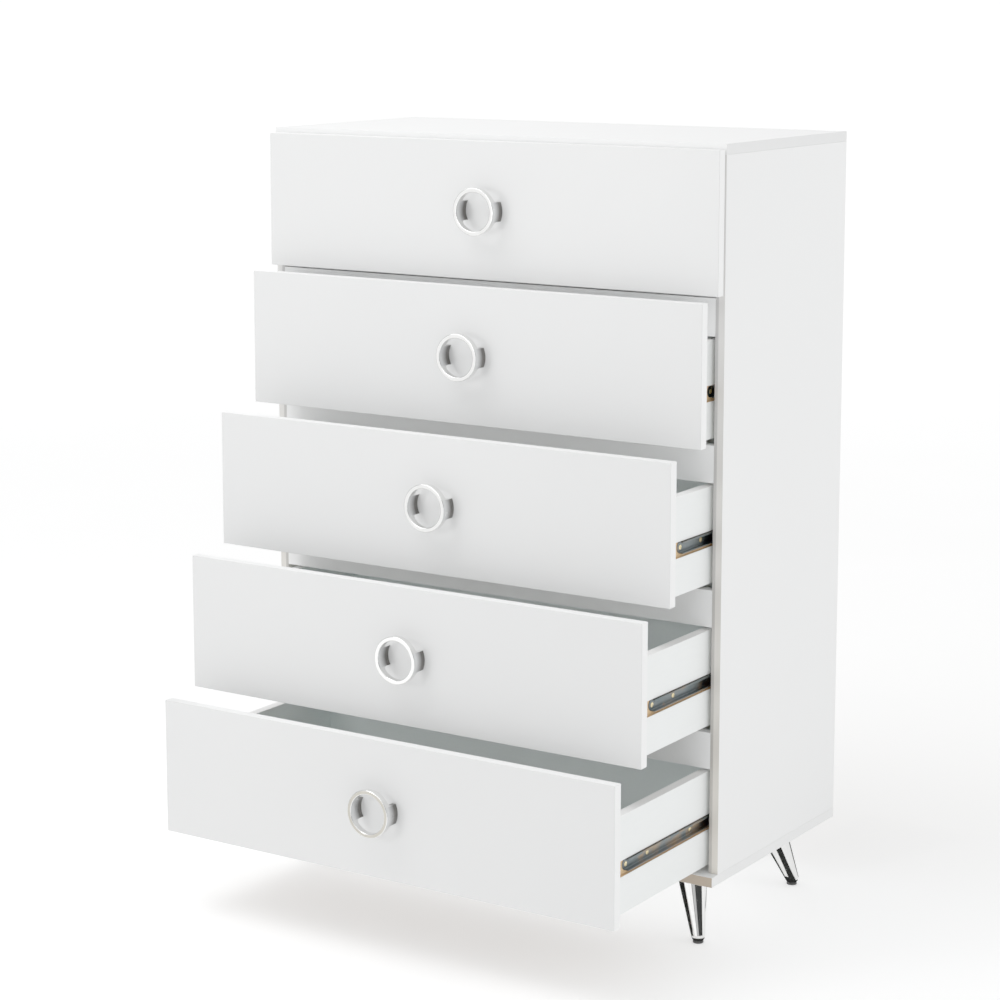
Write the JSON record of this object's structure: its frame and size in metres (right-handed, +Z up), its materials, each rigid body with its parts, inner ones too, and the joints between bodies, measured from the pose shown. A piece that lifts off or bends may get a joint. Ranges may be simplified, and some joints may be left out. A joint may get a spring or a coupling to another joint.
{
  "type": "chest of drawers",
  "caption": "Tall white chest of drawers with plain slab fronts, chrome ring pulls and splayed tapered chrome legs; the drawers run out on ball-bearing runners.",
  "frame": {"origin": "on the floor, under the centre of the space the chest takes up with its drawers as stored", "axes": "+Z up; +Y towards the back, so the drawers open towards -Y; +X towards the right of someone facing the drawers"},
  "size_m": [0.79, 0.693, 1.168],
  "materials": {
    "white_lacquer": "smooth satin white lacquer on board",
    "drawer_board": "white foil-faced board",
    "white_hardboard": "white-faced hardboard",
    "zinc_steel": "bright zinc-plated steel sheet",
    "yellow_zinc": "yellow zinc-plated steel",
    "chrome": "polished chrome plate",
    "foot_rubber": "dark rubber"
  },
  "bodies": {
    "cabinet": {"top_panel": "white_lacquer", "bottom_panel": "white_lacquer", "left_side_panel": "white_lacquer", "right_side_panel": "white_lacquer", "back_panel": "white_hardboard", "front_rail_1": "white_lacquer", "front_rail_2": "white_lacquer", "front_rail_3": "white_lacquer", "front_rail_4": "white_lacquer", "cabinet_runners": "zinc_steel", "front_left_leg": "chrome", "front_right_leg": "chrome", "rear_left_leg": "chrome", "rear_right_leg": "chrome", "foot_pads": "foot_rubber"},
    "drawer_1": {"drawer_1_front": "white_lacquer", "drawer_1_left_side": "drawer_board", "drawer_1_right_side": "drawer_board", "drawer_1_back": "drawer_board", "drawer_1_bottom": "white_hardboard", "drawer_1_handle": "chrome", "drawer_1_channels": "zinc_steel", "drawer_1_screws": "yellow_zinc"},
    "drawer_1_cages": {"drawer_1_ball_cages": "yellow_zinc"},
    "drawer_2": {"drawer_2_front": "white_lacquer", "drawer_2_left_side": "drawer_board", "drawer_2_right_side": "drawer_board", "drawer_2_back": "drawer_board", "drawer_2_bottom": "white_hardboard", "drawer_2_handle": "chrome", "drawer_2_channels": "zinc_steel", "drawer_2_screws": "yellow_zinc"},
    "drawer_2_cages": {"drawer_2_ball_cages": "yellow_zinc"},
    "drawer_3": {"drawer_3_front": "white_lacquer", "drawer_3_left_side": "drawer_board", "drawer_3_right_side": "drawer_board", "drawer_3_back": "drawer_board", "drawer_3_bottom": "white_hardboard", "drawer_3_handle": "chrome", "drawer_3_channels": "zinc_steel", "drawer_3_screws": "yellow_zinc"},
    "drawer_3_cages": {"drawer_3_ball_cages": "yellow_zinc"},
    "drawer_4": {"drawer_4_front": "white_lacquer", "drawer_4_left_side": "drawer_board", "drawer_4_right_side": "drawer_board", "drawer_4_back": "drawer_board", "drawer_4_bottom": "white_hardboard", "drawer_4_handle": "chrome", "drawer_4_channels": "zinc_steel", "drawer_4_screws": "yellow_zinc"},
    "drawer_4_cages": {"drawer_4_ball_cages": "yellow_zinc"},
    "drawer_5": {"drawer_5_front": "white_lacquer", "drawer_5_left_side": "drawer_board", "drawer_5_right_side": "drawer_board", "drawer_5_back": "drawer_board", "drawer_5_bottom": "white_hardboard", "drawer_5_handle": "chrome", "drawer_5_channels": "zinc_steel", "drawer_5_screws": "yellow_zinc"},
    "drawer_5_cages": {"drawer_5_ball_cages": "yellow_zinc"}
  },
  "joints": [
    {"name": "drawer_1_slide", "type": "slide", "parent": "cabinet", "child": "drawer_1", "axis": [0, -1, 0], "range_m": [0, 0.275]},
    {"name": "drawer_1_cage_slide", "type": "slide", "parent": "cabinet", "child": "drawer_1_cages", "axis": [0, -1, 0], "range_m": [0, 0.1375]},
    {"name": "drawer_2_slide", "type": "slide", "parent": "cabinet", "child": "drawer_2", "axis": [0, -1, 0], "range_m": [-0.045, 0.23]},
    {"name": "drawer_2_cage_slide", "type": "slide", "parent": "cabinet", "child": "drawer_2_cages", "axis": [0, -1, 0], "range_m": [-0.0225, 0.115]},
    {"name": "drawer_3_slide", "type": "slide", "parent": "cabinet", "child": "drawer_3", "axis": [0, -1, 0], "range_m": [-0.128, 0.147]},
    {"name": "drawer_3_cage_slide", "type": "slide", "parent": "cabinet", "child": "drawer_3_cages", "axis": [0, -1, 0], "range_m": [-0.064, 0.0735]},
    {"name": "drawer_4_slide", "type": "slide", "parent": "cabinet", "child": "drawer_4", "axis": [0, -1, 0], "range_m": [-0.203, 0.072]},
    {"name": "drawer_4_cage_slide", "type": "slide", "parent": "cabinet", "child": "drawer_4_cages", "axis": [0, -1, 0], "range_m": [-0.1015, 0.036]},
    {"name": "drawer_5_slide", "type": "slide", "parent": "cabinet", "child": "drawer_5", "axis": [0, -1, 0], "range_m": [-0.272, 0.003]},
    {"name": "drawer_5_cage_slide", "type": "slide", "parent": "cabinet", "child": "drawer_5_cages", "axis": [0, -1, 0], "range_m": [-0.136, 0.0015]}
  ],
  "couplings": [
    {"joint": "drawer_1_cage_slide", "follows": "drawer_1_slide", "ratio": 0.5},
    {"joint": "drawer_2_cage_slide", "follows": "drawer_2_slide", "ratio": 0.5},
    {"joint": "drawer_3_cage_slide", "follows": "drawer_3_slide", "ratio": 0.5},
    {"joint": "drawer_4_cage_slide", "follows": "drawer_4_slide", "ratio": 0.5},
    {"joint": "drawer_5_cage_slide", "follows": "drawer_5_slide", "ratio": 0.5}
  ]
}
